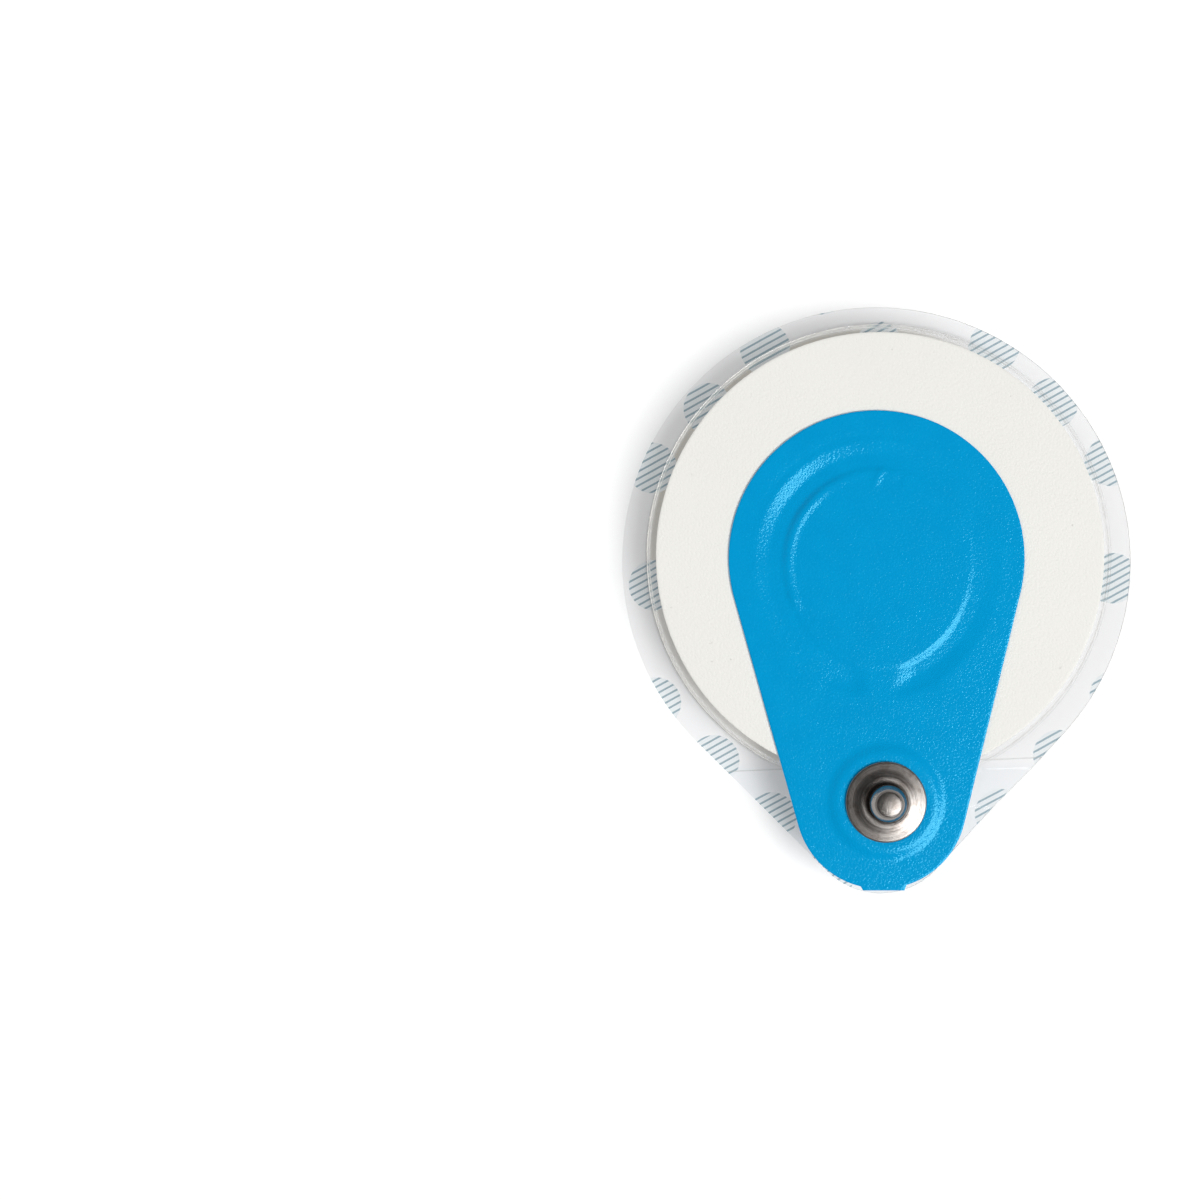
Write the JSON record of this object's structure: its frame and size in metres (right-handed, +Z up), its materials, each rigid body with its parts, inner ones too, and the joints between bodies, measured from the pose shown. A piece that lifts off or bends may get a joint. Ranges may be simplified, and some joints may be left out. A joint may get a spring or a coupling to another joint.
{
  "type": "ecg electrode",
  "caption": "Disposable wet gel ECG electrode with an offset press stud, a blue embossed label and a white foam pad, lying on its clear stepped release cover.",
  "frame": {"origin": "on the dome's axis, on the flat outer face of the cover's cap, which the electrode rests on", "axes": "+Z up, out of the stud; +Y along the electrode, away from the tail with the stud; +X to the right seen from above"},
  "size_m": [0.0544, 0.0629, 0.0098],
  "materials": {
    "clear_film": "clear glossy thermoformed film, printed with pale blue-grey hatched dots",
    "white_foam": "matt warm white closed-cell foam with fine pores",
    "blue_vinyl": "bright blue vinyl with a fine pressed leather grain and a soft sheen",
    "coated_strip": "grey-brown matt silver chloride coating",
    "wet_gel": "clear wet gel with many small air bubbles",
    "nickel_plate": "slightly warm nickel plate with fine turning rings"
  },
  "bodies": {
    "root": {"cover": "clear_film", "foam_pad": "white_foam", "label": "blue_vinyl", "sensor_strip": "coated_strip", "gel": "wet_gel", "snap_stud": "nickel_plate", "snap_eyelet": "nickel_plate"}
  },
  "joints": []
}
